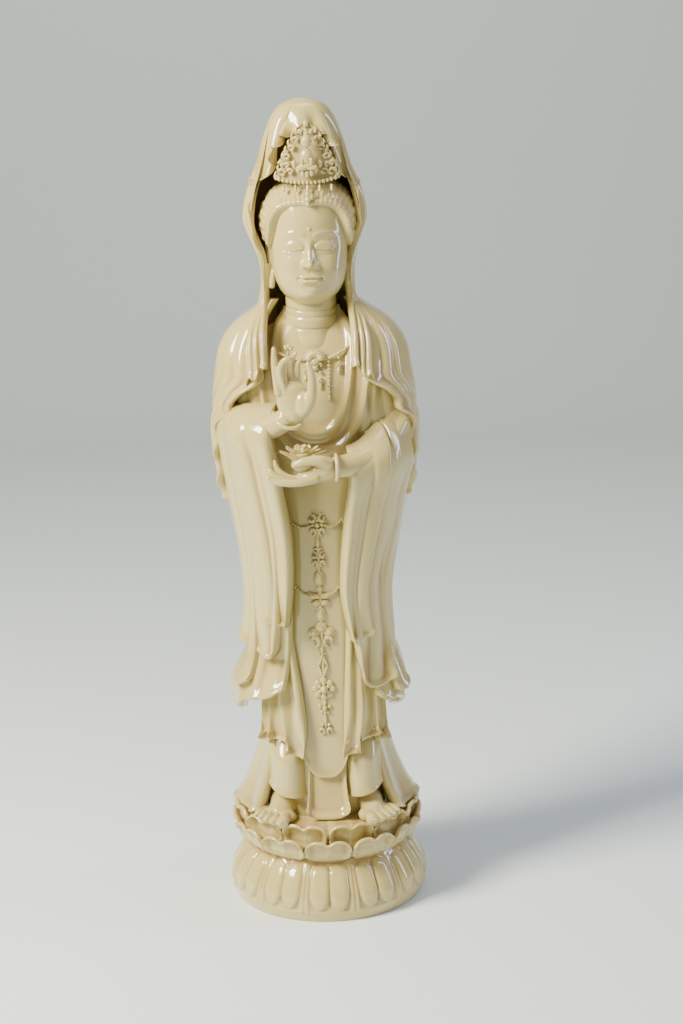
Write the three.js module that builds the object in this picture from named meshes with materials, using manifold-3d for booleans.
// Standing Guanyin figurine of cream-glazed porcelain, fired in one piece with its double lotus plinth.
// Millimetres, +Z up. The figure faces -Y. The origin is the centre of the plinth's flat underside.
import * as THREE from "three";
import { mergeVertices } from "three/addons/utils/BufferGeometryUtils.js";
import Module from "manifold-3d";

const wasm = await Module();
wasm.setup();

// Plinth: a turned-down lotus below, a narrow waist, and an upright lotus that carries the figure.
const PLINTH_HEIGHT = 60;
const FOOT_RADIUS = 60.5;
const BULGE_RADIUS = 63;
const WAIST_RADIUS = 49;
const DISC_RADIUS = 52;
const FOOT_BAND = 6;
const FOOT_FLARE = 1.6;
const BULGE_HEIGHT = 17;
const WAIST_HEIGHT = 36;
const PETAL_COUNT = 12;
const LOBE_RELIEF = 2.2;
const PETAL_THICKNESS = 3;
const PETAL_NOTCH = 6;
const LOWER_TIP_RADIUS = 60;
const LOWER_TIP_HEIGHT = 52.5;
const UPPER_TIP_RADIUS = 58.5;
const UPPER_TIP_HEIGHT = 63;
const FOOTING = 0.5; // how deep the robe is set into the disc

// Figure: its pose and carving are drawn at DRAWN_HEIGHT and scaled to FIGURE_HEIGHT.
const FIGURE_HEIGHT = 440;
const DRAWN_HEIGHT = 440;
const UNIT = FIGURE_HEIGHT / DRAWN_HEIGHT;
const CLOTH = 3;
const GLAZE_COLOUR = "#ded2b0";

const BOX = 2.4; // how square the body's cross-section is: 2 is an ellipse
const DEGREE = Math.PI / 180;

function solidFrom(geometry) {
  const bare = geometry.index ? geometry : geometry.clone();
  for (const name of ["normal", "uv"]) bare.deleteAttribute(name);
  const merged = mergeVertices(bare, 1e-4);
  return new wasm.Manifold(
    new wasm.Mesh({
      numProp: 3,
      vertProperties: new Float32Array(merged.attributes.position.array),
      triVerts: new Uint32Array(merged.index.array),
    }),
  );
}

function geometryFrom(points, faces) {
  const geometry = new THREE.BufferGeometry();
  geometry.setAttribute("position", new THREE.Float32BufferAttribute(points.flat(), 3));
  geometry.setIndex(faces.flat());
  return geometry;
}

// A closed tube: ring(u, v) goes round with u, anticlockwise from above, and rises with v.
function tube(sides, rows, ring) {
  const points = [];
  const faces = [];
  for (let j = 0; j <= rows; j++)
    for (let i = 0; i < sides; i++) points.push(ring(i / sides, j / rows));
  const at = (i, j) => j * sides + (i % sides);
  for (let j = 0; j < rows; j++)
    for (let i = 0; i < sides; i++) {
      faces.push([at(i, j), at(i + 1, j), at(i + 1, j + 1)]);
      faces.push([at(i, j), at(i + 1, j + 1), at(i, j + 1)]);
    }
  for (const [row, turn] of [[0, 0], [rows, 1]]) {
    const middle = [0, 1, 2].map((k) => {
      let sum = 0;
      for (let i = 0; i < sides; i++) sum += points[at(i, row)][k];
      return sum / sides;
    });
    const centre = points.push(middle) - 1;
    for (let i = 0; i < sides; i++)
      faces.push(turn ? [at(i, row), at(i + 1, row), centre] : [at(i + 1, row), at(i, row), centre]);
  }
  return solidFrom(geometryFrom(points, faces));
}

// A slab of cloth or petal: face(u, v) is the side that shows, and back(u, v) the side behind it.
// Seen from in front, u runs to the right and v runs up.
function slab(columns, rows, face, back) {
  const points = [];
  const faces = [];
  for (const side of [face, back])
    for (let j = 0; j <= rows; j++)
      for (let i = 0; i <= columns; i++) points.push(side(i / columns, j / rows));
  const layer = (columns + 1) * (rows + 1);
  const at = (i, j, k) => k * layer + j * (columns + 1) + i;
  const quad = (a, b, c, d) => faces.push([a, b, c], [a, c, d]);
  for (let j = 0; j < rows; j++)
    for (let i = 0; i < columns; i++) {
      quad(at(i, j, 0), at(i + 1, j, 0), at(i + 1, j + 1, 0), at(i, j + 1, 0));
      quad(at(i, j, 1), at(i, j + 1, 1), at(i + 1, j + 1, 1), at(i + 1, j, 1));
    }
  for (let j = 0; j < rows; j++) {
    quad(at(0, j, 1), at(0, j, 0), at(0, j + 1, 0), at(0, j + 1, 1));
    quad(at(columns, j, 0), at(columns, j, 1), at(columns, j + 1, 1), at(columns, j + 1, 0));
  }
  for (let i = 0; i < columns; i++) {
    quad(at(i, 0, 1), at(i + 1, 0, 1), at(i + 1, 0, 0), at(i, 0, 0));
    quad(at(i, rows, 0), at(i + 1, rows, 0), at(i + 1, rows, 1), at(i, rows, 1));
  }
  return solidFrom(geometryFrom(points, faces));
}

// A limb, finger or roll of cloth: round sections carried along a smooth curve through the points.
function limb(points, radii, sides = 7, steps = 6, flat = 1) {
  const curve = new THREE.CatmullRomCurve3(points.map((p) => new THREE.Vector3(...p)));
  const frames = curve.computeFrenetFrames(steps, false);
  return tube(sides, steps, (u, v) => {
    const k = Math.round(v * steps);
    const share = v * (radii.length - 1);
    const low = Math.min(Math.floor(share), radii.length - 2);
    const radius = THREE.MathUtils.lerp(radii[low], radii[low + 1], share - low);
    const centre = curve.getPointAt(v);
    centre.addScaledVector(frames.normals[k], radius * Math.cos(u * 2 * Math.PI));
    centre.addScaledVector(frames.binormals[k], radius * flat * Math.sin(u * 2 * Math.PI));
    return centre.toArray();
  });
}

function ball(centre, radii, sides = 10, rings = 6) {
  const geometry = new THREE.SphereGeometry(1, sides, rings);
  geometry.scale(...radii);
  geometry.translate(...centre);
  return solidFrom(geometry);
}

const joined = (solids) => solids.reduce((all, next) => all.add(next));

const smooth = (low, high, x) => THREE.MathUtils.smoothstep(x, low, high);
const bump = (x, width) => Math.exp(-((x / width) ** 2));

// A value that changes smoothly with height, through rows of [height, value, value, ...].
function alongHeight(rows, z) {
  const last = rows.length - 1;
  if (z <= rows[0][0]) return rows[0].slice(1);
  if (z >= rows[last][0]) return rows[last].slice(1);
  let k = 0;
  while (z > rows[k + 1][0]) k++;
  const t = (z - rows[k][0]) / (rows[k + 1][0] - rows[k][0]);
  return rows[k].slice(1).map((from, i) => {
    const to = rows[k + 1][i + 1];
    const slopeAt = (n) => {
      const before = rows[Math.max(n - 1, 0)];
      const after = rows[Math.min(n + 1, last)];
      return (after[i + 1] - before[i + 1]) / (after[0] - before[0]);
    };
    const span = rows[k + 1][0] - rows[k][0];
    const [t2, t3] = [t * t, t * t * t];
    return (
      (2 * t3 - 3 * t2 + 1) * from + (t3 - 2 * t2 + t) * span * slopeAt(k) +
      (3 * t2 - 2 * t3) * to + (t3 - t2) * span * slopeAt(k + 1)
    );
  });
}

// A point of the body's rounded cross-section at height z, turned by angle from the front towards +X
// and pushed out by lift. shape rows are [height, half width, front depth, back depth].
function around(shape, angle, z, lift = 0) {
  const [width, front, back] = alongHeight(shape, z);
  const [s, c] = [Math.sin(angle), Math.cos(angle)];
  const depth = c > 0 ? front : back;
  const power = (x) => Math.sign(x) * Math.abs(x) ** (2 / BOX);
  const [x, y] = [width * power(s), -depth * power(c)];
  const [nx, ny] = [s / width, -c / depth];
  const length = Math.hypot(nx, ny);
  return [x + (lift * nx) / length, y + (lift * ny) / length, z];
}

// The angle at which that cross-section stands x to the right of the middle, on the front.
function angleAt(shape, x, z) {
  const [width] = alongHeight(shape, z);
  return Math.sign(x) * Math.asin(Math.min(Math.abs(x) / width, 1) ** (BOX / 2));
}

// Knife pleats between edges given as shares of the width: each rises slowly and drops sharply.
function pleats(u, edges, height) {
  let k = 0;
  while (k < edges.length - 2 && u > edges[k + 1]) k++;
  const t = THREE.MathUtils.clamp((u - edges[k]) / (edges[k + 1] - edges[k]), 0, 1);
  return height * Math.sin(Math.PI * t ** 0.7);
}

// A piece of cloth on the body. left and right give its edge angles at a height, hem and top its
// lower and upper edge at a share of its width, and lift how far its face stands off the body.
// gather above 1 crowds its rows towards the top.
function cloth({ shape, columns, rows, left, right, hem, top, lift, thickness = CLOTH / UNIT, gather = 1 }) {
  const point = (u, v, under) => {
    const z = THREE.MathUtils.lerp(hem(u), top(u), 1 - (1 - v) ** gather);
    const angle = THREE.MathUtils.lerp(left(z), right(z), u);
    return around(shape, angle, z, lift(u, v, z) - under);
  };
  return slab(columns, rows, (u, v) => point(u, v, 0), (u, v) => point(u, v, thickness));
}

// The turned-down lotus without its lobes: rows of [height, radius].
const bulge = BULGE_RADIUS - LOBE_RELIEF;
const baseProfile = [
  [0, FOOT_RADIUS - FOOT_FLARE / 2],
  [FOOT_BAND, FOOT_RADIUS + FOOT_FLARE / 2],
  [BULGE_HEIGHT, bulge],
  [THREE.MathUtils.lerp(BULGE_HEIGHT, WAIST_HEIGHT, 0.47), THREE.MathUtils.lerp(bulge, WAIST_RADIUS, 0.37)],
  [THREE.MathUtils.lerp(BULGE_HEIGHT, WAIST_HEIGHT, 0.79), THREE.MathUtils.lerp(bulge, WAIST_RADIUS, 0.79)],
  [WAIST_HEIGHT, WAIST_RADIUS],
];

// How far across its petal a turn of the plinth stands, from -1 to 1 with 0 at the petal's middle.
const acrossPetal = (turns) => ((((turns * PETAL_COUNT + 0.5) % 1) + 1) % 1) * 2 - 1;

// Turned-down petals: rows of [radius, height], each petal with two lobes that swell from the bulge.
function turnedDownPetal(across) {
  const lobe = Math.sqrt(Math.max(1 - ((Math.abs(across) - 0.5) / 0.5) ** 2, 0));
  return [0, 0, 0.35, 0.75, 1].map((share, row) => {
    const z = row ? THREE.MathUtils.lerp(FOOT_BAND, WAIST_HEIGHT, share) : 0;
    const along = Math.max(1 - ((share - 0.43) / 0.47) ** 4, 0);
    return [alongHeight(baseProfile, z)[0] + LOBE_RELIEF * lobe * along, z];
  });
}

// Upright petals: cupped and flaring outwards, with heart-shaped tips that stand clear of the bowl.
function uprightPetal(across, foot, tipRadius, tipHeight, floor) {
  const edge = Math.abs(across);
  const tip = tipHeight - 1.1 * bump(across, 0.3) - PETAL_NOTCH * edge ** 5;
  const outer = tipRadius - 2.6 * edge ** 3;
  const belly = THREE.MathUtils.lerp(foot[0], outer, 0.7) + 1.6 * edge ** 4;
  return [
    [belly, THREE.MathUtils.lerp(foot[1], tipHeight, 0.26)],
    [outer, tip],
    [outer - PETAL_THICKNESS, tip],
    [floor[0], Math.min(floor[1], tip - 1)],
  ];
}

function plinth() {
  const outline = (turns) => {
    const across = acrossPetal(turns);
    const between = acrossPetal(turns + 0.5 / PETAL_COUNT);
    const ledge = [LOWER_TIP_RADIUS - 2.8 * PETAL_THICKNESS, LOWER_TIP_HEIGHT - 1.3 * PETAL_THICKNESS];
    const rim = [DISC_RADIUS, PLINTH_HEIGHT];
    return [
      ...turnedDownPetal(across),
      ...uprightPetal(across, [WAIST_RADIUS, WAIST_HEIGHT], LOWER_TIP_RADIUS, LOWER_TIP_HEIGHT, ledge),
      ...uprightPetal(between, ledge, UPPER_TIP_RADIUS, UPPER_TIP_HEIGHT, rim),
      [DISC_RADIUS - PETAL_THICKNESS, PLINTH_HEIGHT],
    ];
  };
  const rows = outline(0).length - 1;
  return tube(PETAL_COUNT * 4, rows, (u, v) => {
    const [radius, z] = outline(u)[Math.round(v * rows)];
    return [radius * Math.sin(u * 2 * Math.PI), -radius * Math.cos(u * 2 * Math.PI), z];
  });
}

const bodyShape = [
  [-4, 39, 36, 34],
  [20, 37, 34, 32],
  [60, 34, 32, 30],
  [120, 32, 30, 29],
  [190, 33, 29, 29],
  [225, 44, 28, 28],
  [255, 52, 31, 28],
  [278, 48, 28, 27],
  [296, 36, 22, 24],
  [312, 18, 15, 17],
];
const sleeveShape = [
  [56, 47, 32, 30],
  [76, 51, 35, 33],
  [92, 51, 37, 34],
  [112, 47, 39, 33],
  [140, 46, 41, 32],
  [170, 48, 43, 32],
  [200, 53, 46, 33],
  [225, 58, 49, 34],
  [248, 60, 50, 34],
  [262, 57, 46, 32],
];
const mantleShape = [
  [150, 46, 30, 38],
  [200, 57, 34, 38],
  [220, 61, 38, 37],
  [240, 64.5, 40, 36],
  [264, 62.5, 38, 34],
  [281, 59.5, 34, 32],
  [294, 57, 30, 30],
  [303, 52, 27, 29],
  [310, 45, 24, 28],
  [317, 34.5, 22, 27],
  [323, 26.5, 18.5, 25],
];
const hoodShape = [
  [300, 29, 18, 27],
  [325, 28, 19, 26],
  [340, 28.5, 20, 26],
  [351, 31, 20.5, 27],
  [363, 35.5, 21, 28],
  [371, 37.3, 22, 29],
  [385, 34.5, 22, 29],
  [402, 27.8, 20.5, 27],
  [415, 24.3, 19, 24],
  [424, 21.3, 17, 22],
  [431, 18, 15, 19],
  [440, 7, 7, 8],
];
const veilShape = [
  [276, 62, 38, 34],
  [290, 57, 33, 31],
  [303, 52, 29, 29],
  [312, 43, 24.5, 28],
  [319, 35, 21, 26],
  [326, 29, 19.5, 25],
];
const headShape = [
  [322, 8, 14, 14],
  [327, 14.5, 20.5, 18],
  [336, 19.5, 22, 20],
  [348, 21.5, 22, 22],
  [362, 22, 22, 24],
  [376, 21, 21, 23],
  [390, 17, 16, 20],
];
const HEAD_Y = -7;
const HOOD_X = -2;

const shifted = ([x, y, z], dy) => [x, y + dy, z];

function bodyAndSkirt() {
  const folds = (angle, z) =>
    (1 - smooth(120, 250, z)) * 1.1 * Math.cos(angle * 14) * smooth(0.5, 1.2, Math.abs(angle));
  return tube(16, 6, (u, v) => {
    const z = 312 - 316 * (1 - v) ** 1.8;
    const angle = u * 2 * Math.PI;
    const signed = angle > Math.PI ? angle - 2 * Math.PI : angle;
    return around(bodyShape, angle, z, folds(signed, z));
  });
}

// The bell-shaped leg of the under-robe, over each foot.
function legHem(side) {
  return tube(14, 3, (u, v) => {
    const z = THREE.MathUtils.lerp(12 + 4 * (1 - Math.cos(u * 2 * Math.PI)), 70, v);
    const flare = 1.5 * (1 - v) ** 2;
    const angle = u * 2 * Math.PI;
    const [width, depth] = [12.5 + flare + 2 * v, 25 + 1.4 * flare - 2 * v];
    return [side * 22 + width * Math.sin(angle), -12 - depth * Math.cos(angle), z];
  });
}

// The tail of the robe that sweeps down to the lotus beside each leg.
function sideTail(side) {
  const shape = bodyShape;
  const face = (u, v, under) => {
    const z = THREE.MathUtils.lerp(0.5 + 6 * (1 - Math.sin(Math.PI * u)), 75, v);
    const angle = side * THREE.MathUtils.lerp(52, 128, side > 0 ? u : 1 - u) * DEGREE;
    const sweep = 13 * (1 - v) ** 2.2 * (0.55 + 0.45 * Math.cos(u * 4 * Math.PI));
    return around(shape, angle, z, 3.5 + sweep - under);
  };
  return slab(8, 4, (u, v) => face(u, v, 0), (u, v) => face(u, v, 6));
}

function underPanel() {
  return cloth({
    shape: bodyShape, columns: 6, rows: 2, thickness: 6,
    left: (z) => angleAt(bodyShape, -11, z), right: (z) => angleAt(bodyShape, 12, z),
    hem: (u) => 1 + 8 * Math.abs(2 * u - 1) ** 3, top: () => 60,
    lift: (u, v) => 1 + 6 * (1 - v) ** 3 - 1.5 * Math.cos(u * 2 * Math.PI) * (1 - v),
  });
}

// The over-skirt: a front panel with a round hem between long pleats that end in small curls.
function overSkirt() {
  const hem = (x, angle) => {
    const side = Math.abs(x);
    if (Math.abs(angle) > 75 * DEGREE) return 44 + 3 * Math.cos(angle * 9);
    if (side < 12) return 26 + 13 * (side / 12) ** 3;
    return side < 20 ? 43 - 0.2 * (side - 12) : 53 - 0.3 * Math.abs(side - 26);
  };
  const relief = (x, z) => {
    const side = Math.abs(x);
    const strip = 2.4 * smooth(10.5, 12, side) * (1 - smooth(14, 19, side));
    const pleat = pleats((side - 18) / 20, [0, 0.45, 1], 1.6) * smooth(18, 20, side);
    return 1.6 + strip + pleat * (1 - 0.5 * smooth(120, 200, z));
  };
  return tube(44, 4, (u, v) => {
    const angle = 2 * Math.PI * u - 0.55 * Math.sin(2 * Math.PI * u);
    const signed = angle > Math.PI ? angle - 2 * Math.PI : angle;
    const [hemX] = around(bodyShape, signed, 50);
    const front = Math.abs(signed) < 75 * DEGREE;
    const z = THREE.MathUtils.lerp(hem(hemX, signed), 216, v);
    const ripple = 2 * Math.cos(signed * 8) * (1 - v);
    const flare = 3 * (1 - smooth(30, 95, z));
    return around(bodyShape, angle, z, flare + (front ? relief(hemX, z) : 3 + ripple));
  });
}

// Each sleeve hangs from the forearm in three stepped falls of cloth, the rear one the longest.
const rearHem = (lowest, corner) => (t) =>
  lowest + 11 * (1 - smooth(0.3, 0.62, t)) + 10 * (1 - smooth(corner - 0.07, corner + 0.07, t));
const sleeves = [
  {
    side: -1,
    top: () => 262,
    edge: [[79, 18], [126, 17], [180, 16], [218, 21], [245, 25], [262, 26]],
    falls: [
      { width: 13, hem: (t) => 126 - 2 * t, forward: 1.5, folds: [0, 1] },
      { width: 31, hem: (t) => 104 + 9 * Math.abs(1.4 * t - 0.2) ** 1.3, forward: -0.6, folds: [0, 1] },
      { inset: 2, hem: rearHem(61, 0.17), forward: -2, folds: [0, 0.3, 0.6, 1] },
    ],
    flare: 11,
    arm: [[-49, 4, 258], [-51, -14, 246], [-42, -32, 244], [-27, -42, 252]],
  },
  {
    side: 1,
    top: (t) => 234 + 18 * t,
    edge: [[74, 16], [117, 15], [126, 14], [151, 12], [189, 15], [217, 19], [234, 20]],
    falls: [
      { width: 14, hem: (t) => 117 - 2 * t, forward: 1.5, folds: [0, 1] },
      { width: 29, hem: (t) => 84 + 9 * Math.abs(1.4 * t - 0.2) ** 1.3, forward: -0.6, folds: [0, 1] },
      { inset: 14, hem: rearHem(57, 0.08), forward: -2, folds: [0, 0.3, 0.6, 1] },
    ],
    flare: 5,
    arm: [[49, 4, 258], [52, -14, 240], [40, -32, 230], [22, -42, 226]],
  },
];

function sleeve({ side, top, edge, falls, flare, arm }) {
  // stations run across falls that lie side by side, from each whole number to just short of the next.
  const hanging = (stations, rows, order, boundsAt) => {
    const point = (u, v, under) => {
      const share = side > 0 ? u : 1 - u;
      const station = stations[Math.round(share * (stations.length - 1))];
      const k = Math.floor(station);
      const t = station - k;
      const { hem, forward, folds } = falls[order[k]];
      const z = THREE.MathUtils.lerp(hem(t), top(share), v);
      const bounds = boundsAt(alongHeight(edge, z)[0], 9 * smooth(110, 220, z), z);
      const ridge = pleats(t, folds, 2.4 - v);
      const lift = forward + ridge + flare * (1 - smooth(70, 105, z)) - 7 * smooth(0.8, 1, v);
      const angle = side * THREE.MathUtils.lerp(bounds[k], bounds[k + 1], t);
      return around(sleeveShape, angle, z, lift - under);
    };
    return slab(stations.length - 1, rows, (u, v) => point(u, v, 0), (u, v) => point(u, v, 9));
  };
  const turned = (x, z) => Math.abs(angleAt(sleeveShape, x, z));
  const front = hanging([0, 0.5, 0.98, 1, 1.35, 1.7, 1.99], 4, [0, 1], (x, spread, z) => [
    turned(x, z),
    turned(x + falls[0].width + spread, z),
    turned(x + falls[1].width + spread, z),
  ]);
  const rear = hanging([0, 0.1, 0.22, 0.36, 0.52, 0.7, 0.85, 0.99], 4, [2], (x, spread, z) => [
    turned(x + falls[2].inset, z),
    140 * DEGREE,
  ]);
  return joined([front, rear, limb(arm, [13, 13, 12.5, 10], 7, 3)]);
}

// The mantle lies over the shoulders and upper arms, open on the breast and long at the back.
function mantle() {
  const openingRows = [[200, 56], [243, 58], [262, 49], [272, 40], [284, 29], [323, 20]];
  const opening = (z) => Math.abs(angleAt(mantleShape, alongHeight(openingRows, z)[0], z));
  const hemAt = (u) => {
    const fromFront = Math.min(u, 1 - u);
    return 200 + 14 * smooth(0.02, 0.12, fromFront) - 62 * smooth(0.14, 0.42, fromFront);
  };
  return cloth({
    shape: mantleShape, columns: 20, rows: 6, thickness: 7, gather: 1.6,
    left: opening, right: (z) => 2 * Math.PI - opening(z),
    hem: hemAt, top: () => 323,
    lift: (u, v) => {
      const fromFront = Math.min(u, 1 - u);
      const shoulder = pleats(fromFront, [0, 0.068, 0.14, 0.5], 1.6) * smooth(0.98, 0.6, v);
      return shoulder + 1.3 * smooth(0.25, 0.35, fromFront) * (1 - v) * Math.cos(u * 20 * Math.PI);
    },
  });
}

// The collar of the robe: a rolled edge that hangs in a deep U on the breast.
function collar() {
  const rolls = [
    { drop: 246, half: 21, roll: 1.9, top: 316 },
    { drop: 236, half: 28, roll: 1.6, top: 300 },
  ];
  return joined(
    rolls.map(({ drop, half, roll, top }) => {
      const points = [];
      for (let k = 0; k <= 10; k++) {
        const t = (k / 10) * 2 - 1;
        const z = drop + (top - drop) * Math.abs(t) ** 2.6;
        const x = half * Math.sin((t * Math.PI) / 2) * (1 - 0.3 * smooth(285, 316, z));
        points.push(around(bodyShape, angleAt(bodyShape, x, z), z, 0.8));
      }
      return limb(points, [roll, roll, roll], 4, 12);
    }),
  );
}

function foot(side) {
  const turn = side * 12 * DEGREE;
  const place = ([x, y, z]) => [
    side * 31 + x * Math.cos(turn) - y * Math.sin(turn) * 1,
    -34 + x * Math.sin(turn) * side + y,
    z,
  ];
  const parts = [ball(place([0, 3, 3]), [9, 16, 7.5], 7, 3)];
  for (let k = 0; k < 5; k++) {
    const x = side * (-7 + 3.6 * k);
    const length = 15.5 - 0.9 * k;
    const radius = k === 0 ? 3 : 2.3 - 0.12 * k;
    parts.push(limb([place([x * 0.8, -3, 5]), place([x, -length, 2.2])], [3, radius], 5, 1));
  }
  return joined(parts);
}

function head() {
  const skull = tube(14, 6, (u, v) => {
    const z = THREE.MathUtils.lerp(322, 390, v);
    return shifted(around(headShape, u * 2 * Math.PI, z), HEAD_Y);
  });
  const neck = tube(10, 2, (u, v) => {
    const z = THREE.MathUtils.lerp(296, 334, v);
    const angle = u * 2 * Math.PI;
    const radius = 15.5 + 0.5 * Math.cos(v * 4 * Math.PI);
    return [radius * Math.sin(angle), -3 - radius * Math.cos(angle), z];
  });
  const faceY = HEAD_Y - 22;
  const nose = tube(6, 1, (u, v) => {
    const z = THREE.MathUtils.lerp(343, 362, v);
    const angle = u * 2 * Math.PI;
    const [width, depth] = [THREE.MathUtils.lerp(4.2, 1.6, v), THREE.MathUtils.lerp(5.2, 1.6, v)];
    return [width * Math.sin(angle), faceY + 1 - depth * Math.cos(angle), z];
  });
  const parts = [skull, neck, nose];
  for (const side of [-1, 1]) {
    parts.push(ball([side * 9.5, faceY + 3.2, 357], [5.6, 3.4, 3.2], 6, 3));
    const ear = [[21, 1, 363], [24, 2, 352], [22.5, 0, 340], [23, -1, 329]];
    parts.push(limb(ear.map(([x, y, z]) => [side * x, HEAD_Y + y, z]), [2.6, 3.6, 2.2, 2.6], 5, 3));
  }
  parts.push(ball([0, faceY + 1.4, 338.6], [5.6, 2.8, 1.5], 6, 3));
  parts.push(ball([0, faceY + 1.8, 335.6], [4.6, 2.8, 1.7], 6, 3));
  parts.push(ball([0, faceY + 3.2, 328.5], [6.5, 4, 4], 6, 3));
  return joined(parts);
}

// The hair is combed back over a band from ear to ear, and rises under the crown.
function hair() {
  const mass = ball([0, HEAD_Y + 3, 369], [29.5, 27, 27], 16, 8);
  const window = tube(12, 1, (u, v) => {
    const angle = u * 2 * Math.PI;
    return [22 * Math.sin(angle), THREE.MathUtils.lerp(-60, -12, v), 351 + 27.5 * Math.cos(angle)];
  });
  return mass.subtract(window);
}

// A flame-shaped plaque with a small seated figure on a lotus.
function crown() {
  const outline = new THREE.Shape();
  outline.moveTo(-19, 394);
  outline.quadraticCurveTo(-20, 403, -14, 406);
  outline.quadraticCurveTo(-9, 416, 0, 428);
  outline.quadraticCurveTo(9, 416, 14, 406);
  outline.quadraticCurveTo(20, 403, 19, 394);
  outline.quadraticCurveTo(0, 388, -19, 394);
  const plate = new THREE.ExtrudeGeometry(outline, { depth: 12, bevelEnabled: false, curveSegments: 3 });
  plate.rotateX(Math.PI / 2);
  plate.translate(0, -15, 0);
  return joined([
    solidFrom(plate),
    ball([0, -28, 416.5], [3.4, 3.4, 4.2], 6, 4),
    ball([0, -27.5, 408], [4.8, 3.6, 5.4], 6, 4),
    ball([0, -28.5, 402.5], [7.4, 4, 2.8], 6, 3),
    ball([0, -27.5, 396], [8.5, 5, 3.6], 6, 3),
  ]);
}

// The hood falls from the top of the head over the shoulders, with a stepped hem round the face.
function hood() {
  const falls = [-1, 1].map((side) => {
    const inner = (z) => Math.abs(angleAt(veilShape, 24 - side * 0.5, z));
    const outer = (z) => Math.abs(angleAt(veilShape, 36 + 6 * smooth(322, 290, z), z));
    return cloth({
      shape: veilShape, columns: 3, rows: 2, thickness: 5,
      left: side > 0 ? inner : (z) => -outer(z),
      right: side > 0 ? outer : (z) => -inner(z),
      hem: (u) => 284 - 8 * (side > 0 ? u : 1 - u) ** 2, top: () => 326,
      lift: (u, v) => 1.2 * Math.cos(u * 3 * Math.PI) * (1 - v),
    });
  });
  const openingRows = [
    [300, 25],
    [325, 25],
    [345, 27],
    [366, 31.5],
    [380, 31],
    [392, 27],
    [400, 19],
    [412, 14],
    [420, 6],
    [423, 0],
  ];
  const edge = (z) => {
    const x = Math.max(alongHeight(openingRows, z)[0], 0);
    return z > 423 ? 0.001 : Math.abs(angleAt(hoodShape, x, z)) + 0.001;
  };
  const outer = tube(18, 7, (u, v) => {
    const z = 440 - 140 * (1 - v) ** 1.4;
    const angle = u * 2 * Math.PI;
    const [x, y] = around(hoodShape, angle, z, 0.8 * Math.cos(angle * 9) * (1 - v));
    return [x + HOOD_X, y - 1, z];
  });
  const inner = tube(12, 5, (u, v) => {
    const z = 429 - 132 * (1 - v) ** 1.3;
    const [x, y] = around(hoodShape, u * 2 * Math.PI, z, -CLOTH / UNIT);
    return [x + HOOD_X, y - 1, z];
  });
  const outline = [];
  for (let k = 0; k <= 8; k++) {
    const z = THREE.MathUtils.lerp(290, 423, k / 8);
    const step = z > 340 ? 1.4 * Math.sign(Math.sin((z - 340) / 3.6)) : 0;
    outline.push([Math.max(alongHeight(openingRows, Math.max(z, 300))[0] + step, 0.2), z]);
  }
  const arch = new THREE.Shape([
    ...outline.map(([x, z]) => new THREE.Vector2(x, z)),
    ...outline.reverse().map(([x, z]) => new THREE.Vector2(-x, z)),
  ]);
  const cutter = new THREE.ExtrudeGeometry(arch, { depth: 60, bevelEnabled: false });
  cutter.rotateX(Math.PI / 2);
  cutter.translate(HOOD_X, -4, 0);
  return joined([outer.subtract(inner).subtract(solidFrom(cutter)), ...falls]);
}

function raisedHand() {
  const radii = [3, 2.4, 2, 1.4];
  const fingers = [
    [[-18, -51, 274], [-20.5, -52, 288], [-20, -51, 302]],
    [[-14.5, -52, 274], [-17, -54, 287], [-13.5, -57, 295], [-5.5, -57.5, 296]],
    [[-10, -50, 274], [-12.5, -48, 289], [-13.5, -50, 298], [-7.5, -52, 302]],
    [[-6.5, -50, 274], [-10, -47, 289], [-12.5, -48, 299], [-11, -50, 303]],
  ];
  return joined([
    limb([[-36, -38, 244], [-24, -46, 251], [-14, -50, 259]], [10, 9, 8], 6, 2),
    ball([-12.3, -51, 266.5], [9.2, 4.6, 14], 7, 4),
    limb([[-23, -49, 262], [-17, -54, 256], [-8, -52, 254.5]], [1.3, 1.5, 1.3], 4, 3),
    ...fingers.map((path) => limb(path, radii, 5, 3)),
    limb([[-7, -51, 259], [-0.5, -54, 269], [1.5, -54, 281], [-1.5, -53.5, 292]], [4.6, 4, 3, 2], 5, 3),
  ]);
}

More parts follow.
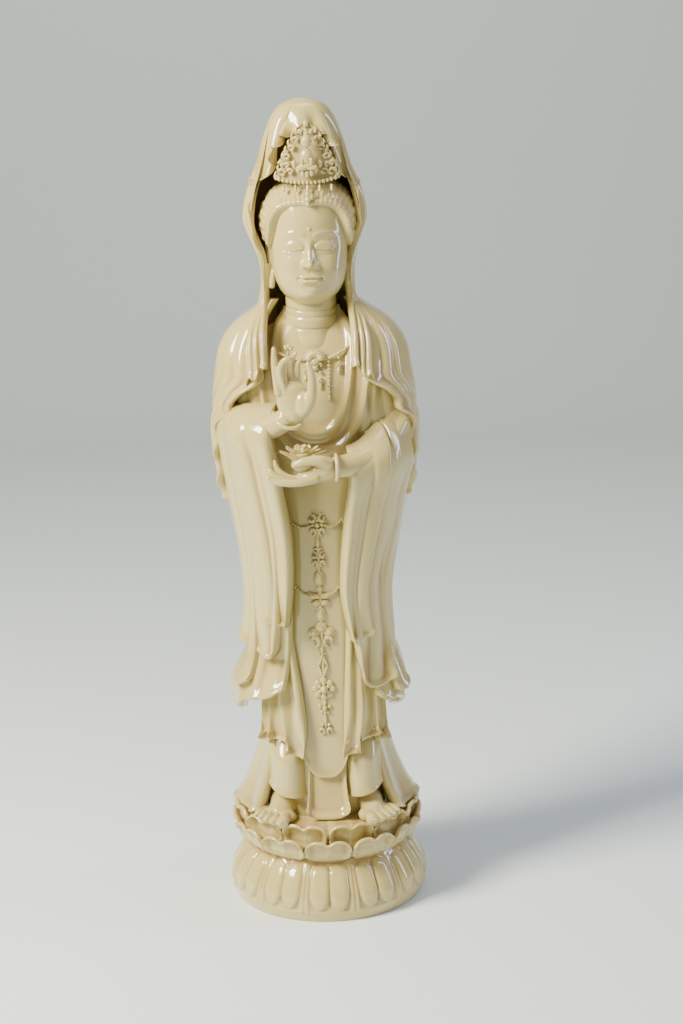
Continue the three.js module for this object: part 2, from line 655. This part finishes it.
function holdingHand() {
  const radii = [3.8, 3, 2.6, 1.6];
  const fingers = [
    [[6, -58, 224], [-8, -62, 220.5], [-20, -61, 222], [-29, -59, 229]],
    [[6, -55, 223], [-8, -58, 220], [-21, -57, 224], [-26.5, -55, 236]],
    [[6, -52, 224], [-8, -54, 221], [-19, -53, 226], [-23.5, -51, 239]],
    [[8, -57, 232], [0, -61, 236], [-8, -62, 236], [-15, -61, 234]],
  ];
  const flower = tube(12, 3, (u, v) => {
    const angle = u * 2 * Math.PI;
    const radius = [3, 7.5, 9 - 1.5 * Math.cos(angle * 6), 3][Math.round(v * 3)];
    const z = [225, 232, 240.5 + 1.5 * Math.cos(angle * 6), 238][Math.round(v * 3)];
    return [-8 + radius * Math.cos(angle), -55 + 0.8 * radius * Math.sin(angle), z];
  });
  return joined([
    limb([[34, -38, 229], [22, -47, 228.5], [8, -54, 228]], [10, 8.6, 8], 6, 2),
    ball([4, -55.5, 227.5], [9, 6, 7.5], 7, 4),
    limb([[12.5, -61.5, 235], [15, -60, 226], [14.5, -54, 220.5]], [1.3, 1.5, 1.3], 4, 3),
    ...fingers.map((path) => limb(path, radii, 5, 3)),
    flower,
  ]);
}

// Larger jewels of the chain on the front panel, and the rosette on the breast.
function jewels() {
  const chain = [
    [187, 3.2, 4], [179, 4.8, 3.2], [166, 3.2, 5], [153, 3, 5], [144, 3.4, 2.6],
    [131, 2.8, 4], [118, 6.5, 6], [98, 2.6, 5.5], [83, 5.4, 5.4], [63, 3.4, 6],
  ];
  const stones = chain.map(([z, halfWidth, halfHeight]) => {
    const [, y] = around(bodyShape, 0, z, 1.9);
    return ball([0, y, z], [halfWidth, 2.4, halfHeight], 6, 2);
  });
  const [, breast] = around(bodyShape, 0, 288, -2.5);
  return joined([...stones, ball([2, breast, 288], [7, 4.5, 6], 8, 4)]);
}

function figure() {
  const parts = [
    bodyAndSkirt(), underPanel(), overSkirt(), mantle(), collar(), hood(), hair(), crown(), head(),
    raisedHand(), holdingHand(), jewels(),
  ];
  for (const side of [-1, 1]) parts.push(legHem(side), sideTail(side), foot(side));
  parts.push(...sleeves.map(sleeve));
  return joined(parts);
}

const standing = figure().scale([UNIT, UNIT, UNIT]).translate([0, 0, PLINTH_HEIGHT - FOOTING]);
const whole = plinth().add(standing);
const filled = whole.decompose().filter((body) => body.volume() > 0); // without sealed hollows
const solid = joined(filled);
const { vertProperties, triVerts, numProp, numVert } = solid.getMesh();
const positions = new Float32Array(numVert * 3);
for (let i = 0; i < numVert; i++)
  positions.set(vertProperties.subarray(i * numProp, i * numProp + 3), i * 3);
const geometry = new THREE.BufferGeometry();
geometry.setAttribute("position", new THREE.BufferAttribute(positions, 3));
geometry.setIndex(new THREE.BufferAttribute(triVerts, 1));
geometry.computeVertexNormals();

const glaze = new THREE.MeshStandardMaterial({ color: GLAZE_COLOUR, roughness: 0.18, metalness: 0 });
const figurine = new THREE.Mesh(geometry, glaze);
figurine.name = "guanyin_figurine";

const group = new THREE.Group();
group.add(figurine);
export default group;
